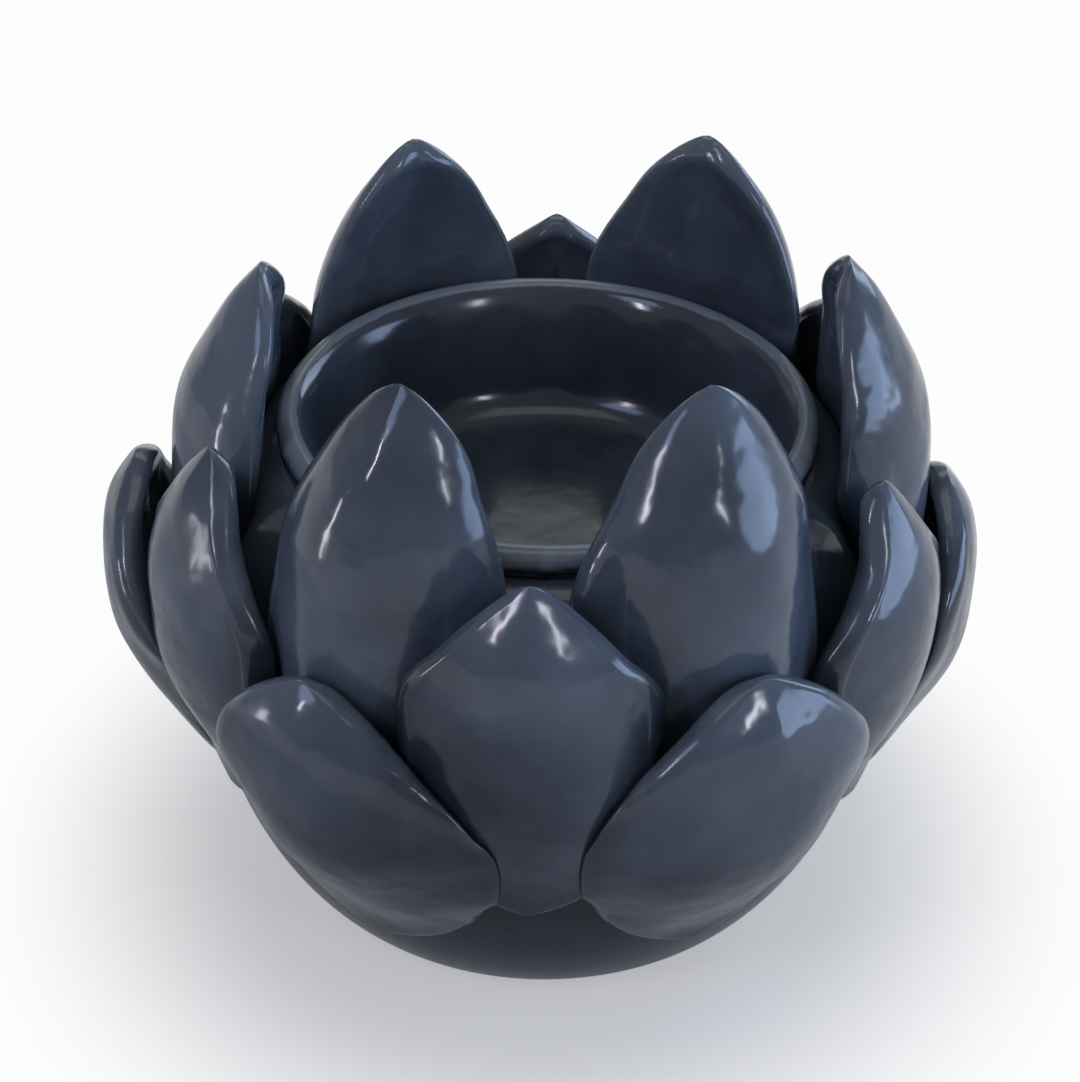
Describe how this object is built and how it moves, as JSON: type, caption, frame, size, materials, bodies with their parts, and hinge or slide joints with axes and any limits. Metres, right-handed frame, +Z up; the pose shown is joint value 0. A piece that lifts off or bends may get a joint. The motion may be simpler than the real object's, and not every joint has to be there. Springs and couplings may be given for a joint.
{
  "type": "artichoke candle holder",
  "caption": "Round glazed stoneware candle holder shaped like an artichoke, with a shallow candle cup ringed by overlapping pointed petals.",
  "frame": {"origin": "centre of the foot ring, on the surface that the holder stands on", "axes": "+Z up along the axis of the bowl and the candle cup; -Y is the front, where a middle-row petal stands between two inner ones"},
  "size_m": [0.1297, 0.1227, 0.1057],
  "materials": {
    "body_glaze": "gloss",
    "cup_glaze": "gloss",
    "petal_glaze": "gloss"
  },
  "bodies": {
    "root": {"bowl_body": "body_glaze", "candle_cup": "cup_glaze", "inner_petal_1": "petal_glaze", "inner_petal_2": "petal_glaze", "inner_petal_3": "petal_glaze", "inner_petal_4": "petal_glaze", "inner_petal_5": "petal_glaze", "inner_petal_6": "petal_glaze", "middle_petal_1": "petal_glaze", "middle_petal_2": "petal_glaze", "middle_petal_3": "petal_glaze", "middle_petal_4": "petal_glaze", "middle_petal_5": "petal_glaze", "middle_petal_6": "petal_glaze", "lower_petal_1": "petal_glaze", "lower_petal_2": "petal_glaze", "lower_petal_3": "petal_glaze", "lower_petal_4": "petal_glaze", "lower_petal_5": "petal_glaze", "lower_petal_6": "petal_glaze"}
  },
  "joints": []
}
